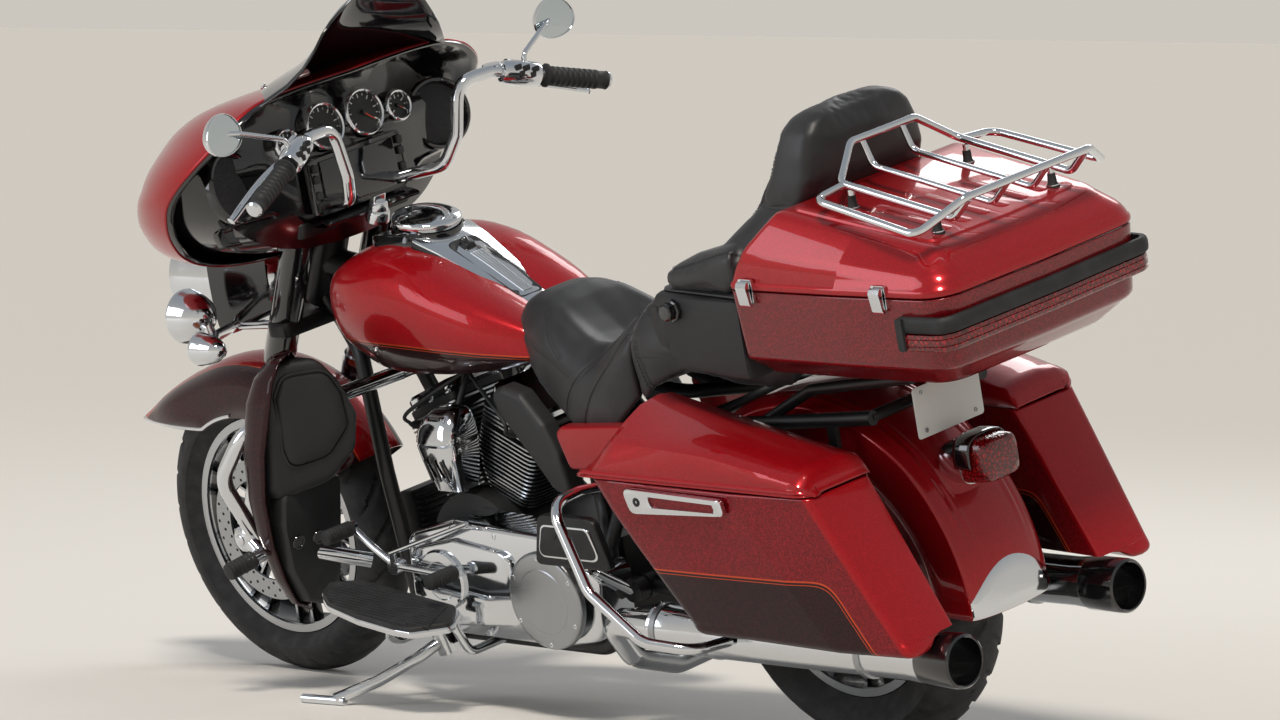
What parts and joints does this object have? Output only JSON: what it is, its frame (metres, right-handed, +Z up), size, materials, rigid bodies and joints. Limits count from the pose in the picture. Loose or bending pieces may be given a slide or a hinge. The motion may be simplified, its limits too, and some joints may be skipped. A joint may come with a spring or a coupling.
{
  "type": "touring cruiser motorcycle",
  "caption": "Two-wheeled touring motorcycle with fairing, hard saddlebags, lidded trunk, rack, boards and vee engine, leaning on its side stand.",
  "frame": {"origin": "on the road below the middle of the leaning machine's bounding box", "axes": "+Z up, -Y forward, +X to the rider's left, the side it leans to"},
  "size_m": [1.1513, 2.6118, 1.4155],
  "materials": {
    "candy_paint": "candy red gloss paint under clear coat",
    "flake_paint": "dark cherry metal-flake paint under clear coat",
    "black_gloss": "gloss black moulded plastic",
    "black_matte": "textured black plastic",
    "black_metal": "black powder coat",
    "chrome": "polished chrome plate",
    "engine_alloy": "cast and machined aluminium",
    "leather": "black stitched seat leather",
    "rubber": "black moulded rubber",
    "tyre": "road tyre rubber",
    "lamp_red": "red lamp lens",
    "lamp_clear": "clear lamp glass in a chrome shell",
    "smoked": "dark smoked polycarbonate",
    "plate_white": "blank white plate"
  },
  "bodies": {
    "chassis": {"air_cleaner": "chrome", "cylinders": "engine_alloy", "engine_cases": "engine_alloy", "engine_guard": "chrome", "exhaust_left": "chrome", "exhaust_right": "chrome", "foot_controls": "chrome", "frame": "black_metal", "fuel_tank": "candy_paint", "horn_cover": "chrome", "knee_shields": "black_matte", "left_saddlebag": "candy_paint", "leg_fairings": "flake_paint", "licence_plate": "plate_white", "passenger_seat": "leather", "primary_cover": "chrome", "rear_fender": "candy_paint", "rider_seat": "leather", "right_saddlebag": "candy_paint", "saddlebag_guards": "chrome", "side_covers": "candy_paint", "speaker_pods": "black_matte", "swingarm": "black_metal", "tail_lamp": "lamp_red", "tank_console": "chrome", "trunk_box": "flake_paint", "trunk_bumper": "rubber", "trunk_lamp": "lamp_red"},
    "steering": {"fork": "chrome", "front_fender": "flake_paint", "headlamp": "lamp_clear", "outer_fairing": "candy_paint", "inner_fairing": "black_gloss", "windshield": "smoked", "handlebar": "chrome", "mirrors": "chrome", "lamp_bracket": "chrome"},
    "front_wheel": {"front_tyre": "tyre", "front_rim": "black_metal"},
    "rear_wheel": {"rear_tyre": "tyre", "rear_rim": "black_metal"},
    "side_stand": {"side_stand": "chrome"},
    "left_bag_lid": {"left_bag_lid": "candy_paint"},
    "right_bag_lid": {"right_bag_lid": "candy_paint"},
    "trunk_lid": {"trunk_lid": "candy_paint", "luggage_rack": "chrome", "backrest": "leather"},
    "left_rider_board": {"left_rider_board": "rubber"},
    "right_rider_board": {"right_rider_board": "rubber"},
    "left_passenger_board": {"left_passenger_board": "black_metal"},
    "right_passenger_board": {"right_passenger_board": "black_metal"}
  },
  "joints": [
    {"name": "steering", "type": "hinge", "parent": "chassis", "child": "steering", "pos_m": [-0.14622, -0.95408, 0.31215], "axis": [0.2212, 0.4384, 0.8711], "range_deg": [-32, 32]},
    {"name": "front_wheel_spin", "type": "hinge", "parent": "steering", "child": "front_wheel", "pos_m": [-0.14622, -0.93508, 0.31215], "axis": [0.9692, 0, -0.2462], "continuous": true},
    {"name": "rear_wheel_spin", "type": "hinge", "parent": "chassis", "child": "rear_wheel", "pos_m": [-0.14622, 0.68992, 0.31215], "axis": [0.9692, 0, -0.2462], "continuous": true},
    {"name": "side_stand_fold", "type": "hinge", "parent": "chassis", "child": "side_stand", "pos_m": [0.00708, -0.31308, 0.12362], "axis": [0.4363, -0.0504, 0.8984], "range_deg": [0, 80]},
    {"name": "left_bag_lid_hinge", "type": "hinge", "parent": "chassis", "child": "left_bag_lid", "pos_m": [0.12544, 0.68992, 0.57745], "axis": [0, -1, 0], "range_deg": [0, 40]},
    {"name": "right_bag_lid_hinge", "type": "hinge", "parent": "chassis", "child": "right_bag_lid", "pos_m": [-0.25838, 0.68992, 0.67492], "axis": [0, 1, 0], "range_deg": [0, 40]},
    {"name": "trunk_lid_hinge", "type": "hinge", "parent": "chassis", "child": "trunk_lid", "pos_m": [-0.27767, 0.98992, 1.02958], "axis": [0, -1, 0], "range_deg": [0, 75]},
    {"name": "left_rider_board_fold", "type": "hinge", "parent": "chassis", "child": "left_rider_board", "pos_m": [0.09442, -0.28508, 0.19532], "axis": [0.024, -0.9952, 0.0946], "range_deg": [0, 20]},
    {"name": "right_rider_board_fold", "type": "hinge", "parent": "chassis", "child": "right_rider_board", "pos_m": [-0.41345, -0.28508, 0.32431], "axis": [-0.024, 0.9952, -0.0946], "range_deg": [0, 20]},
    {"name": "left_passenger_board_fold", "type": "hinge", "parent": "chassis", "child": "left_passenger_board", "pos_m": [0.11767, 0.19792, 0.31529], "axis": [0, 1, 0], "range_deg": [0, 80]},
    {"name": "right_passenger_board_fold", "type": "hinge", "parent": "chassis", "child": "right_passenger_board", "pos_m": [-0.37664, 0.19792, 0.44083], "axis": [0, -1, 0], "range_deg": [0, 80]}
  ]
}
